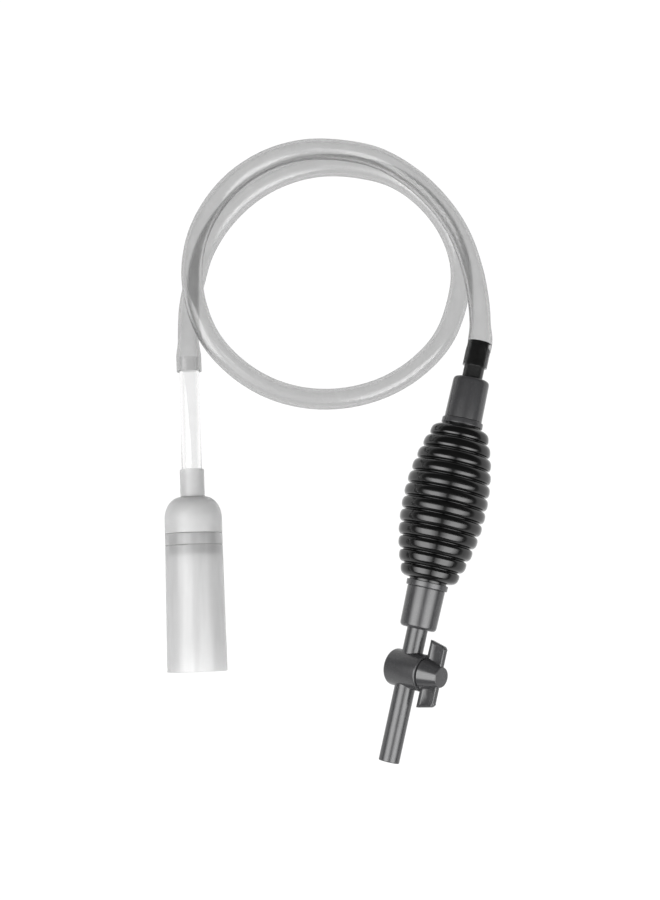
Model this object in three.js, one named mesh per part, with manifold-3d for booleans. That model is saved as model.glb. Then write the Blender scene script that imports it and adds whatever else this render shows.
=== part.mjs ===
// Gravel vacuum siphon, laid flat as it lies on a table: the squeeze pump with its
// stopcock on the right, the gravel tube on the left, and one and a half loose turns
// of hose joining them. Millimetres, +Z up, +Y towards the loop of the hose.
import * as THREE from 'three';
import { mergeVertices } from 'three/addons/utils/BufferGeometryUtils.js';
import Module from 'manifold-3d';

// ---- driving dimensions -----------------------------------------------------
const GAP = 0.3; // between pieces that touch
const SIDES = 24; // sides of a turned piece
const SMALL_SIDES = 20; // sides of a small turned piece

// hose and the two tubes that it is pushed over
const HOSE_R = 8;
const HOSE_BORE_R = 6.2;
const HOSE_SIDES = 12;
const HOSE_STEPS = 38;
const CUFF_WALL = 1.7;
const CUFF_TAPER = 6;
const PIPE_R = 7.7;
const PIPE_BORE_R = 5.5;
const PIPE_END_ROUND = 0.8;

// pump, measured along its own axis from the middle of the bellows
const PUMP_LEAN = 12.65; // degrees from +Y
const PUMP_MIDDLE = [86.5, 32.2];
const BELLOWS_R = 31.6;
const BELLOWS_END_R = 21.8;
const BELLOWS_HALF = 58.9;
const BELLOWS_RIBS = 12;
const BELLOWS_SWELL = 2.1; // power of the barrel curve
const RIB_DEPTH = 3.4;
const RIB_CREST = 4.6;
const BELLOWS_WALL = 1.6;
const NECK_R = 13.9;
const NECK_BORE_R = 12.1;
const RING_R = 15.6;
const RING_LENGTH = 4.2;
const CAP_R = 14.1; // at the clamp ring
const CAP_TIP_R = 13.6; // at the rounded end
const UPPER_CAP_END = 96.3;
const LOWER_CAP_END = 94.9;
const CAP_ROUND = 3;
const SPIGOT_R = NECK_BORE_R - GAP;
const SPIGOT_START = 56;
const CHAMBER_R = 10.5;
const CHAMBER_STEP = 72;
const SWING_R = 9.4; // room for a flap to open
const SWING_END = 80;
const SOCKET_START = 84;
const STUB_END = 125.1;
const HOSE_ON_STUB = 105.9;

// check valves
const SEAT_THICK = 3;
const SEAT_HOLE_R = 4.6;
const FLAP_R = 6.2;
const FLAP_THICK = 1;
const FLAP_HINGE_X = -7.4;
const FLAP_TAB = 2.4;

// stopcock, measured along its own axis from the pipe's axis
const VALVE_Y = -125.5;
const VALVE_RAISE = 41; // degrees that the handle leans up from the table
const BARREL_R = 13.7;
const BARREL_BACK = -13.9;
const BARREL_MOUTH = 15.6;
const BARREL_BORE_R = 10.6;
const BARREL_FLOOR = -11.2;
const OUTLET_END = -194;
const PLUG_R = BARREL_BORE_R - GAP;
const PLUG_TOP = 13.1;
const GROOVE_R = 8.9;
const GROOVE_WIDTH = 1.9;
const GROOVE_PLACES = [-8.3, 8.6];
const SEAL_R = 9.75; // middle of the seal's round section
const SEAL_SECTION = 0.55;
const GLAND_BOTTOM = 13.4;
const GLAND_TOP = 15.2;
const STEM_R = 5;
const STEM_SQUARE = 7;
const STEM_END = 25;
const BOSS_START = 16.2;
const BOSS_END = 30.9;
const BOSS_R = 12;
const BOSS_TIP_R = 7.4;
const SOCKET_SQUARE = STEM_SQUARE + 2 * GAP;
const SOCKET_END = 26;
const WING_THICK = 4;
const WING_SPAN = 24.9; // half, beside the barrel
const WING_TIP_SPAN = 22; // half, at the far edge
const WING_TOP = 29.5;
const WING_ROUND = 2.6;

// gravel head, measured along its own axis from the tube's open mouth
const HEAD_LEAN = 2.14; // degrees from +Y
const MOUTH_PLACE = [-97.4, -91.9];
const MOUTH_R = 22.3;
const TUBE_R = 21.5;
const TUBE_WALL = 1.6;
const TUBE_LENGTH = 93.4;
const BAND_START = TUBE_LENGTH + GAP;
const BAND_END = 102.3;
const SKIRT_START = BAND_END + GAP;
const DOME_START = 113.4;
const DOME_END = 130;
const HEAD_WALL = 1.8;
const HEAD_NECK_R = 9.1;
const HEAD_NECK_END = 150.8;
const LEDGE_BORE_R = 6;
const LEDGE_END = 134;
const HEAD_SPIGOT_R = 19.6;
const HEAD_SPIGOT_BORE_R = 17.4;
const HEAD_SPIGOT_START = 86.5;
const HEAD_SEAL_PLACE = 89.8;
const HEAD_GROOVE_R = 18.15;
const HEAD_SEAL_R = 19.05;
const HEAD_SEAL_SECTION = 0.6;
const EXTENSION_R = 7.5;
const EXTENSION_BORE_R = 6;
const EXTENSION_END = 236;
const HOSE_ON_EXTENSION = 225.6;

// Middle line of the hose from its end on the extension tube to its end on the stub:
// up the left, once round on the table, over itself, and round again on top.
const HOSE_ROUTE = [
  [-105.8, 133.5, 20.7], [-106.5, 149, 20.4], [-107.2, 165.5, 16.4], [-107, 184, 11.3],
  [-103.5, 205, 8.6], [-96, 230.5, 8.1], [-81, 255, 8.1], [-60, 275.5, 8.1],
  [-35, 289.5, 8.1], [-7, 296.5, 8.1], [22.5, 295.5, 8.1], [51.5, 287.5, 8.1],
  [76, 269.5, 8.1], [94, 244, 8.1], [102, 215, 8.1], [98, 185.5, 8.1],
  [87, 159.5, 8.1], [67.5, 138.5, 8.1], [43, 123.5, 8.1], [15.5, 115.5, 8.1],
  [-13.5, 114.5, 8.5], [-42, 121, 11], [-67.5, 135, 16.8], [-88, 155.5, 24.6],
  [-99.5, 180.5, 28.6], [-104, 209, 27], [-100, 237.5, 24], [-88, 263, 21.5],
  [-69.5, 284, 20.5], [-45, 299, 20.5], [-17.5, 306, 21.3], [11.5, 305, 22.3],
  [39, 298, 23.8], [64, 282.5, 24.8], [84, 263, 24.9], [99.5, 239.5, 24.7],
  [109, 212, 26.5], [113.5, 184, 30.2], [114.2, 156.5, 31.5], [109.7, 135.5, 31.5],
];

// ---- materials --------------------------------------------------------------
function material(color, roughness, opacity = 1) {
  return new THREE.MeshStandardMaterial({
    color, roughness, metalness: 0, opacity, transparent: opacity < 1,
  });
}

const clearVinyl = material(0xc9c9c9, 0.2, 0.6);
const clearTube = material(0xf0f0f0, 0.1, 0.4);
const frostedTube = material(0xd8d8d8, 0.5, 0.7);
const frostedHead = material(0xc4c4c4, 0.5, 0.75);
const darkPlastic = material(0x4c4c4c, 0.4);
const blackRubber = material(0x161616, 0.25);
const sealRubber = material(0x202020, 0.5);
const clearSilicone = material(0xdcdcdc, 0.3, 0.6);
const palePlastic = material(0xd0d0cc, 0.5);

// ---- helpers ----------------------------------------------------------------
const radians = THREE.MathUtils.degToRad;

// Points on a round corner, as [x, y] pairs, from one angle to another in degrees.
function arc(x, y, radius, from, to, steps = 4) {
  return Array.from({ length: steps + 1 }, (_, i) => {
    const angle = radians(from + ((to - from) * i) / steps);
    return [x + radius * Math.cos(angle), y + radius * Math.sin(angle)];
  });
}

// Turned solid about its own Y: the closed outline runs outside upwards, inside downwards.
function turned(outline, sides = SIDES) {
  const points = [...outline, outline[0]].map(([r, y]) => new THREE.Vector2(r, y));
  return new THREE.LatheGeometry(points, sides);
}

// The same outline turned end for end along Y.
function flipped(outline) {
  return outline.map(([r, y]) => [r, -y]).reverse();
}

// A plain tube between two places along Y, with its outer edge rounded at the chosen ends.
function tubeOutline(radius, bore, from, to, roundTop = 0, roundBottom = 0) {
  const bottom = roundBottom
    ? arc(radius - roundBottom, from + roundBottom, roundBottom, -90, 0, 2)
    : [[radius, from]];
  const top = roundTop ? arc(radius - roundTop, to - roundTop, roundTop, 0, 90, 2) : [[radius, to]];
  return [[bore, from], ...bottom, ...top, [bore, to]];
}

// Round ring of circular section, such as a rubber seal.
function sealRing(radius, section, place) {
  return turned(arc(radius, place, section, -180, 120, 5));
}

function extruded(points, depth) {
  const outline = new THREE.Shape(points.map(([x, y]) => new THREE.Vector2(x, y)));
  return new THREE.ExtrudeGeometry(outline, { depth, bevelEnabled: false });
}

const wasm = await Module();
wasm.setup();

function toSolid(geometry) {
  const bare = geometry.clone();
  bare.deleteAttribute('normal');
  bare.deleteAttribute('uv');
  const merged = mergeVertices(bare, 1e-4);
  const solid = new wasm.Mesh({
    numProp: 3,
    vertProperties: new Float32Array(merged.attributes.position.array),
    triVerts: new Uint32Array(merged.index.array),
  });
  return new wasm.Manifold(solid);
}

function toGeometry(solid) {
  const mesh = solid.getMesh();
  const geometry = new THREE.BufferGeometry();
  geometry.setAttribute('position', new THREE.BufferAttribute(mesh.vertProperties, 3));
  geometry.setIndex(new THREE.BufferAttribute(mesh.triVerts, 1));
  geometry.computeVertexNormals();
  return geometry;
}

// Joins the solids of the first list and cuts those of the second out of them.
function carved(joined, cut = []) {
  const whole = joined.map(toSolid).reduce((a, b) => a.add(b));
  return toGeometry(cut.map(toSolid).reduce((a, b) => a.subtract(b), whole));
}

function piece(name, geometry, finish) {
  const mesh = new THREE.Mesh(geometry, finish);
  mesh.name = name;
  return mesh;
}

// ---- pump: bellows, caps and clamp rings ------------------------------------
const RIB_PITCH = (2 * BELLOWS_HALF) / BELLOWS_RIBS;

// Radius of the bellows over its ribs at a distance from the middle.
function ribRadius(y) {
  const endRib = BELLOWS_HALF - RIB_PITCH / 2;
  return BELLOWS_R - (BELLOWS_R - BELLOWS_END_R) * (Math.abs(y) / endRib) ** BELLOWS_SWELL;
}

function bellows() {
  const neckEnd = BELLOWS_HALF + RING_LENGTH + GAP;
  const outside = [];
  const inside = [];
  for (let rib = 0; rib < BELLOWS_RIBS; rib += 1) {
    const middle = (rib + 0.5) * RIB_PITCH - BELLOWS_HALF;
    const radius = ribRadius(middle);
    if (rib > 0) {
      const valley = ribRadius(middle - RIB_PITCH / 2) - RIB_DEPTH;
      outside.push([valley, middle - RIB_PITCH / 2]);
      inside.push([valley - BELLOWS_WALL, middle - RIB_PITCH / 2]);
    }
    outside.push([radius, middle - RIB_CREST / 2], [radius, middle + RIB_CREST / 2]);
    inside.push([radius - 1.5 * BELLOWS_WALL, middle]);
  }
  const shoulder = BELLOWS_HALF;
  const outline = [
    [NECK_BORE_R, -neckEnd],
    [NECK_R, -neckEnd],
    [NECK_R, -shoulder],
    ...outside,
    [NECK_R, shoulder],
    [NECK_R, neckEnd],
    [NECK_BORE_R, neckEnd],
    [NECK_BORE_R, shoulder - BELLOWS_WALL],
    ...inside.reverse(),
    [NECK_BORE_R, BELLOWS_WALL - shoulder],
  ];
  return turned(outline);
}

// Cup whose spigot holds the bellows' neck, whose chamber holds a check valve and
// whose far end is a socket for a pipe. The lower one is a little shorter.
const ringStart = BELLOWS_HALF + 1;
const capStart = ringStart + RING_LENGTH + GAP;

function capOutline(end) {
  return [
    [CHAMBER_R, SPIGOT_START],
    [SPIGOT_R, SPIGOT_START],
    [SPIGOT_R, capStart],
    [CAP_R, capStart],
    ...arc(CAP_TIP_R - CAP_ROUND, end - CAP_ROUND, CAP_ROUND, 0, 90),
    [PIPE_R + GAP, end],
    [PIPE_R + GAP, SOCKET_START],
    [PIPE_BORE_R, SOCKET_START],
    [PIPE_BORE_R, SWING_END],
    [SWING_R, SWING_END],
    [SWING_R, CHAMBER_STEP],
    [CHAMBER_R, CHAMBER_STEP],
  ];
}

const ringOutline = tubeOutline(RING_R, NECK_R + GAP, ringStart, ringStart + RING_LENGTH);

// ---- check valves -----------------------------------------------------------
const seatTop = CHAMBER_STEP - GAP;
const seatOutline = tubeOutline(CHAMBER_R - GAP, SEAT_HOLE_R, seatTop - SEAT_THICK, seatTop);

// Rubber disc with a tab on its hinge side, lying across the seat with its face at `place`.
function flap(place) {
  const rim = arc(0, 0, FLAP_R, -155, 155, 18);
  const tab = [[FLAP_HINGE_X, FLAP_TAB], [FLAP_HINGE_X, -FLAP_TAB]];
  const disc = extruded([...rim, ...tab], FLAP_THICK);
  disc.rotateX(-Math.PI / 2);
  disc.translate(0, place, 0);
  return disc;
}

// ---- stopcock ---------------------------------------------------------------
const VALVE_TILT = radians(VALVE_RAISE);

// Barrel across the pipe with its closed back, moulded with the pipe that it stands in.
// It is made upright along Y and the pipe is laid across it along X.
function valveBody() {
  const across = (geometry) => geometry.rotateZ(Math.PI / 2);
  const inletEnd = -(SOCKET_START + GAP) - VALVE_Y;
  const outletEnd = OUTLET_END - VALVE_Y;
  const barrel = turned([
    [0, BARREL_BACK],
    ...arc(BARREL_R - 2, BARREL_BACK + 2, 2, -90, 0, 3),
    [BARREL_R, BARREL_MOUTH - 0.6],
    [BARREL_R - 0.6, BARREL_MOUTH],
    [0, BARREL_MOUTH],
  ]);
  const pipe = turned([
    [0, -inletEnd],
    [PIPE_R, -inletEnd],
    ...arc(PIPE_R - PIPE_END_ROUND, -outletEnd - PIPE_END_ROUND, PIPE_END_ROUND, 0, 90, 2),
    [0, -outletEnd],
  ], SMALL_SIDES);
  const barrelBore = turned([
    [0, BARREL_FLOOR],
    [BARREL_BORE_R, BARREL_FLOOR],
    [BARREL_BORE_R, BARREL_MOUTH + 1],
    [0, BARREL_MOUTH + 1],
  ]);
  const pipeBore = turned([
    [0, -inletEnd - 1],
    [PIPE_BORE_R, -inletEnd - 1],
    [PIPE_BORE_R, -outletEnd + 1],
    [0, -outletEnd + 1],
  ], SMALL_SIDES);
  return carved([barrel, across(pipe)], [barrelBore, across(pipeBore)]);
}

// Round plug with a cross bore, two seal grooves and a square stem for the handle.
function valvePlug() {
  const groove = (place) => [
    [PLUG_R, place - GROOVE_WIDTH / 2],
    [GROOVE_R, place - GROOVE_WIDTH / 2],
    [GROOVE_R, place + GROOVE_WIDTH / 2],
    [PLUG_R, place + GROOVE_WIDTH / 2],
  ];
  const round = turned([
    [0, BARREL_FLOOR + GAP],
    [PLUG_R, BARREL_FLOOR + GAP],
    ...GROOVE_PLACES.flatMap(groove),
    [PLUG_R, PLUG_TOP],
    [STEM_R, PLUG_TOP],
    [STEM_R, BOSS_START - GAP],
    [0, BOSS_START - GAP],
  ]);
  const stemLength = STEM_END - PLUG_TOP;
  const square = new THREE.BoxGeometry(STEM_SQUARE, stemLength, STEM_SQUARE);
  square.translate(0, PLUG_TOP + stemLength / 2, 0);
  const bore = new THREE.CylinderGeometry(PIPE_BORE_R, PIPE_BORE_R, 3 * PLUG_R, SMALL_SIDES);
  bore.rotateZ(Math.PI / 2);
  return carved([round, square], [bore]);
}

const glandOutline = tubeOutline(BARREL_BORE_R - GAP, STEM_R + GAP, GLAND_BOTTOM, GLAND_TOP);

// Tapered boss with one flat plate through it that makes the two wings.
function valveHandle() {
  const boss = turned([
    [0, BOSS_START],
    [BOSS_R, BOSS_START],
    [BOSS_TIP_R + 0.3, BOSS_END - 0.6],
    [BOSS_TIP_R - 0.3, BOSS_END],
    [0, BOSS_END],
  ]);
  const tip = WING_TOP - WING_ROUND;
  const wings = extruded([
    [-WING_SPAN, BOSS_START],
    [WING_SPAN, BOSS_START],
    ...arc(WING_TIP_SPAN - WING_ROUND, tip, WING_ROUND, 0, 90, 3),
    ...arc(WING_ROUND - WING_TIP_SPAN, tip, WING_ROUND, 90, 180, 3),
  ], WING_THICK);
  wings.translate(0, 0, -WING_THICK / 2);
  const socket = new THREE.BoxGeometry(SOCKET_SQUARE, SOCKET_END, SOCKET_SQUARE);
  socket.translate(0, SOCKET_END / 2, 0);
  return carved([boss, wings], [socket]);
}

// The stopcock's own group: Y is the valve's axis, X the pipe's axis towards the pump.
function stopcock() {
  const group = new THREE.Group();
  group.add(
    piece('valve_body', valveBody(), darkPlastic),
    piece('valve_plug', valvePlug(), palePlastic),
    piece('plug_seal_inner', sealRing(SEAL_R, SEAL_SECTION, GROOVE_PLACES[0]), sealRubber),
    piece('plug_seal_outer', sealRing(SEAL_R, SEAL_SECTION, GROOVE_PLACES[1]), sealRubber),
    piece('gland_ring', turned(glandOutline), darkPlastic),
    piece('valve_handle', valveHandle(), darkPlastic),
  );
  const along = new THREE.Vector3(0, 1, 0);
  const raised = new THREE.Vector3(Math.cos(VALVE_TILT), 0, Math.sin(VALVE_TILT));
  const across = new THREE.Vector3().crossVectors(along, raised);
  group.setRotationFromMatrix(new THREE.Matrix4().makeBasis(along, raised, across));
  group.position.y = VALVE_Y;
  return group;
}

// ---- gravel head ------------------------------------------------------------
const seatGap = HEAD_SEAL_SECTION + GAP;

const gravelTubeOutline = [
  [MOUTH_R - TUBE_WALL, 0],
  [MOUTH_R, 0],
  [TUBE_R, TUBE_LENGTH],
  [TUBE_R - TUBE_WALL, TUBE_LENGTH],
];

const bandOutline = tubeOutline(TUBE_R, TUBE_R - TUBE_WALL, BAND_START, BAND_END);

// Dome with a skirt, a spigot inside the tube and a neck that holds the extension tube.
function gravelHeadOutline() {
  const domeHeight = DOME_END - DOME_START;
  const steps = 6;
  const dome = Array.from({ length: steps + 1 }, (_, i) => {
    const angle = (i / steps) * (Math.PI / 2);
    const across = (TUBE_R - HEAD_NECK_R) * Math.cos(angle);
    return [HEAD_NECK_R + across, DOME_START + domeHeight * Math.sin(angle)];
  });
  const inner = Array.from({ length: steps }, (_, i) => {
    const angle = ((steps - 1 - i) / steps) * (Math.PI / 2);
    const across = (TUBE_R - HEAD_WALL - LEDGE_BORE_R) * Math.cos(angle);
    return [LEDGE_BORE_R + across, DOME_START + (domeHeight - HEAD_WALL) * Math.sin(angle)];
  });
  return [
    [HEAD_SPIGOT_BORE_R, HEAD_SPIGOT_START],
    [HEAD_SPIGOT_R, HEAD_SPIGOT_START],
    [HEAD_SPIGOT_R, HEAD_SEAL_PLACE - seatGap],
    [HEAD_GROOVE_R, HEAD_SEAL_PLACE - seatGap],
    [HEAD_GROOVE_R, HEAD_SEAL_PLACE + seatGap],
    [HEAD_SPIGOT_R, HEAD_SEAL_PLACE + seatGap],
    [HEAD_SPIGOT_R, SKIRT_START],
    [TUBE_R, SKIRT_START],
    ...dome,
    [HEAD_NECK_R, HEAD_NECK_END],
    [EXTENSION_R + GAP, HEAD_NECK_END],
    [EXTENSION_R + GAP, LEDGE_END],
    [LEDGE_BORE_R, LEDGE_END],
    [LEDGE_BORE_R, DOME_END - HEAD_WALL],
    ...inner,
    [HEAD_SPIGOT_BORE_R, SKIRT_START],
  ];
}

const extensionOutline = tubeOutline(
  EXTENSION_R, EXTENSION_BORE_R, LEDGE_END + GAP, EXTENSION_END, 0.6, 0,
);

// ---- hose -------------------------------------------------------------------
// Cuff of the hose stretched over a tube: wide from `from` to `over`, then down to its own size.
function cuff(tubeRadius, from, over) {
  const bore = tubeRadius + GAP;
  return turned([
    [bore, from],
    [bore + CUFF_WALL, from],
    [bore + CUFF_WALL, over],
    [HOSE_R, over + CUFF_TAPER],
    [HOSE_R, over + CUFF_TAPER + 4],
    [HOSE_BORE_R, over + CUFF_TAPER + 4],
    [HOSE_BORE_R, over + CUFF_TAPER],
    [bore, over + GAP],
  ], SMALL_SIDES);
}

function placed(geometry, group) {
  group.updateMatrixWorld(true);
  return geometry.applyMatrix4(group.matrixWorld);
}

function hose(pumpGroup, headGroup) {
  const points = HOSE_ROUTE.map((point) => new THREE.Vector3(...point));
  const route = new THREE.CatmullRomCurve3(points, false, 'catmullrom', 0.5);
  const length = route.getLength();
  const onExtension = EXTENSION_END - HOSE_ON_EXTENSION + CUFF_TAPER + 2;
  const onStub = STUB_END - HOSE_ON_STUB + CUFF_TAPER + 2;
  const free = new THREE.Curve();
  free.getPoint = (t, target) => {
    const along = onExtension + t * (length - onExtension - onStub);
    return route.getPointAt(along / length, target);
  };
  const ring = (radius) => arc(0, 0, radius, 0, 360 - 360 / HOSE_SIDES, HOSE_SIDES - 1);
  const section = new THREE.Shape(ring(HOSE_R).map(([x, y]) => new THREE.Vector2(x, y)));
  section.holes.push(new THREE.Path(ring(HOSE_BORE_R).map(([x, y]) => new THREE.Vector2(x, y))));
  const swept = new THREE.ExtrudeGeometry(section, {
    steps: HOSE_STEPS, extrudePath: free, bevelEnabled: false,
  });
  const headCuff = placed(cuff(EXTENSION_R, HOSE_ON_EXTENSION, EXTENSION_END), headGroup);
  const pumpCuff = placed(cuff(PIPE_R, HOSE_ON_STUB, STUB_END), pumpGroup);
  return carved([swept, headCuff, pumpCuff]);
}

// ---- assembly ---------------------------------------------------------------
const siphon = new THREE.Group();
const pump = new THREE.Group();
const gravelHead = new THREE.Group();
siphon.add(pump, gravelHead);

pump.position.set(...PUMP_MIDDLE, ribRadius(RIB_PITCH / 2)); // the middle ribs touch the table
pump.rotation.z = -radians(PUMP_LEAN);
pump.add(
  piece('bellows', bellows(), blackRubber),
  piece('upper_cap', turned(capOutline(UPPER_CAP_END)), darkPlastic),
  piece('upper_clamp_ring', turned(ringOutline), darkPlastic),
  piece('inlet_valve_seat', turned(seatOutline), palePlastic),
  piece('inlet_flap', flap(seatTop - SEAT_THICK - GAP - FLAP_THICK), sealRubber),
  piece('inlet_stub', turned(
    tubeOutline(PIPE_R, PIPE_BORE_R, SOCKET_START + GAP, STUB_END, PIPE_END_ROUND),
  ), darkPlastic),
  piece('lower_cap', turned(flipped(capOutline(LOWER_CAP_END))), darkPlastic),
  piece('lower_clamp_ring', turned(flipped(ringOutline)), darkPlastic),
  piece('outlet_valve_seat', turned(flipped(seatOutline)), palePlastic),
  piece('outlet_flap', flap(-seatTop - GAP - FLAP_THICK), sealRubber),
  stopcock(),
);

const headTilt = Math.asin((MOUTH_R - TUBE_R) / DOME_START); // mouth and skirt touch the table
gravelHead.position.set(...MOUTH_PLACE, MOUTH_R);
gravelHead.rotation.set(-headTilt, 0, radians(HEAD_LEAN), 'ZXY');
gravelHead.add(
  piece('gravel_tube', turned(gravelTubeOutline), frostedTube),
  piece('joint_band', turned(bandOutline), frostedHead),
  piece('head_seal_ring', sealRing(HEAD_SEAL_R, HEAD_SEAL_SECTION, HEAD_SEAL_PLACE),
    clearSilicone),
  piece('gravel_head', turned(gravelHeadOutline()), frostedHead),
  piece('extension_tube', turned(extensionOutline, SMALL_SIDES), clearTube),
);

siphon.add(piece('hose', hose(pump, gravelHead), clearVinyl));

export default siphon;
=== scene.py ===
"""Gravel vacuum siphon for an aquarium, lying on a pale table: a rigid gravel tube, one and
a half loose turns of clear hose, a black squeeze bulb between two caps, and a stopcock."""

import math

import bpy
from bpy.props import FloatProperty, FloatVectorProperty, IntProperty, PointerProperty
from mathutils import Matrix, Vector


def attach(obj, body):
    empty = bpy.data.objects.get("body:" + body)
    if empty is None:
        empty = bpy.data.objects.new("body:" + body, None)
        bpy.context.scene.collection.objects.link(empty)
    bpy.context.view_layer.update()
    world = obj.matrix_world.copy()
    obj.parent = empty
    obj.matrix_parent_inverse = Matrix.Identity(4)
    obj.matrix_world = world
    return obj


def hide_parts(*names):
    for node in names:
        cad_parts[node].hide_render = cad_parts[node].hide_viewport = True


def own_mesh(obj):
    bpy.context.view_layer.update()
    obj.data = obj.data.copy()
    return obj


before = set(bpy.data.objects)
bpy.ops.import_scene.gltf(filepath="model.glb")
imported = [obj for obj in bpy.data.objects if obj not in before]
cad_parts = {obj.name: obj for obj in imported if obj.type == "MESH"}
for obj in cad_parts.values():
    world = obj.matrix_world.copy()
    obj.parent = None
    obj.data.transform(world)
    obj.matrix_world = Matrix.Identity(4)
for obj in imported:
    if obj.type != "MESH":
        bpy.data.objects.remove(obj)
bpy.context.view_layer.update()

bl_info = {
    "name": "Gravel Vacuum Siphon",
    "version": (1, 0, 0),
    "blender": (4, 5, 0),
    "location": "View3D > Sidebar > Siphon",
    "description": "Models an aquarium gravel cleaner with its hose, squeeze bulb and stopcock",
    "category": "Object",
}

MM = 0.001
GAP = 0.3 * MM  # between pieces that touch
HEAD_BODY = "head_hose_and_bulb"
LOWER_BODY = "lower_end"
KNOB_BODY = "valve_knob"
TUBE_BODY = "gravel_tube"

# ---- where things lie ----------------------------------------------------------------
# Middle line of the hose, in metres, from its end on the extension tube to the stub's.
HOSE_ROUTE = [
    Vector(point) * MM
    for point in (
        (-105.8, 133.5, 20.7), (-106.5, 149, 20.4), (-107.2, 165.5, 16.4), (-107, 184, 11.3),
        (-103.5, 205, 8.6), (-96, 230.5, 8.1), (-81, 255, 8.1), (-60, 275.5, 8.1),
        (-35, 289.5, 8.1), (-7, 296.5, 8.1), (22.5, 295.5, 8.1), (51.5, 287.5, 8.1),
        (76, 269.5, 8.1), (94, 244, 8.1), (102, 215, 8.1), (98, 185.5, 8.1),
        (87, 159.5, 8.1), (67.5, 138.5, 8.1), (43, 123.5, 8.1), (15.5, 115.5, 8.1),
        (-13.5, 114.5, 8.5), (-42, 121, 11), (-67.5, 135, 16.8), (-88, 155.5, 24.6),
        (-99.5, 180.5, 28.6), (-104, 209, 27), (-100, 237.5, 24), (-88, 263, 21.5),
        (-69.5, 284, 20.5), (-45, 299, 20.5), (-17.5, 306, 21.3), (11.5, 305, 22.3),
        (39, 298, 23.8), (64, 282.5, 24.8), (84, 263, 24.9), (99.5, 239.5, 24.7),
        (109, 212, 26.5), (113.5, 184, 30.2), (114.2, 156.5, 31.5), (111.9, 145.4, 31.5),
        (109.7, 135.5, 31.5),
    )
]
UP = Vector((0, 0, 1))
PUMP_LEAN = math.radians(12.65)
PUMP_AXIS = Vector((math.sin(PUMP_LEAN), math.cos(PUMP_LEAN), 0))
PUMP_SIDE = Vector((math.cos(PUMP_LEAN), -math.sin(PUMP_LEAN), 0))
PUMP_MIDDLE = Vector((86.5, 32.2, 31.536)) * MM  # its middle ribs rest on the table
VALVE_PLACE = -125.5 * MM  # along the pump's axis
VALVE_RAISE = math.radians(41)
VALVE_AXIS = math.cos(VALVE_RAISE) * PUMP_SIDE + math.sin(VALVE_RAISE) * UP
HEAD_LEAN = math.radians(2.14)
HEAD_TILT = math.asin(0.8 / 113.4)  # mouth and skirt both touch the table
HEAD_AXIS = Vector((
    -math.sin(HEAD_LEAN) * math.cos(HEAD_TILT),
    math.cos(HEAD_LEAN) * math.cos(HEAD_TILT),
    -math.sin(HEAD_TILT),
))
MOUTH_MIDDLE = Vector((-97.4, -91.9, 22.3)) * MM
SOCKET_FOOT = 134 * MM  # along the head's axis, where the extension tube's socket ends
CAP_SOCKET = 84 * MM  # from the pump's middle, where the socket in each cap ends


def place_along(origin, axis, side):
    """The place whose Z runs along an axis and whose X points to one side."""
    across = axis.cross(side).normalized()
    turn = Matrix((across.cross(axis), across, axis)).transposed()
    return Matrix.Translation(origin) @ turn.to_4x4()


PUMP = place_along(PUMP_MIDDLE, PUMP_AXIS, PUMP_SIDE)
VALVE = place_along(PUMP_MIDDLE + PUMP_AXIS * VALVE_PLACE, VALVE_AXIS, PUMP_AXIS)
HEAD = place_along(MOUTH_MIDDLE, HEAD_AXIS, Vector((1, 0, 0)))


# ---- sizes and colours that a user would change --------------------------------------
def hex_colour(code):
    """Linear RGBA from an sRGB hex code such as "#4c4c4c"."""
    parts = [int(code[i:i + 2], 16) / 255 for i in (1, 3, 5)]
    return [c / 12.92 if c <= 0.04045 else ((c + 0.055) / 1.055) ** 2.4 for c in parts] + [1.0]


def length(name, description, millimetres):
    return FloatProperty(name=name, description=description, default=millimetres * MM,
                         min=0.0, unit="LENGTH", precision=4)


def colour(name, description, code):
    return FloatVectorProperty(name=name, description=description, default=hex_colour(code),
                               size=4, min=0.0, max=1.0, subtype="COLOR")


class SIPHON_PG_hose(bpy.types.PropertyGroup):
    """Sizes of the hose and of the two tubes that it is pushed over."""
    radius: length("Radius", "Outer radius of the hose", 8)
    wall: length("Wall", "Thickness of the hose's wall", 1.85)
    head_cuff: length("Head cuff", "Outer radius where it covers the extension tube", 9.5)
    pump_cuff: length("Pump cuff", "Outer radius where it covers the stub", 9.3)
    head_grip: length("Head grip", "How far it is pushed over the extension tube", 10)
    pump_grip: length("Pump grip", "How far it is pushed over the stub", 19.2)
    taper: length("Taper", "How far past a tube's end it narrows to its own size", 15)
    sides: IntProperty(name="Sides", description="Sides of the hose", default=48, min=12)


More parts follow.
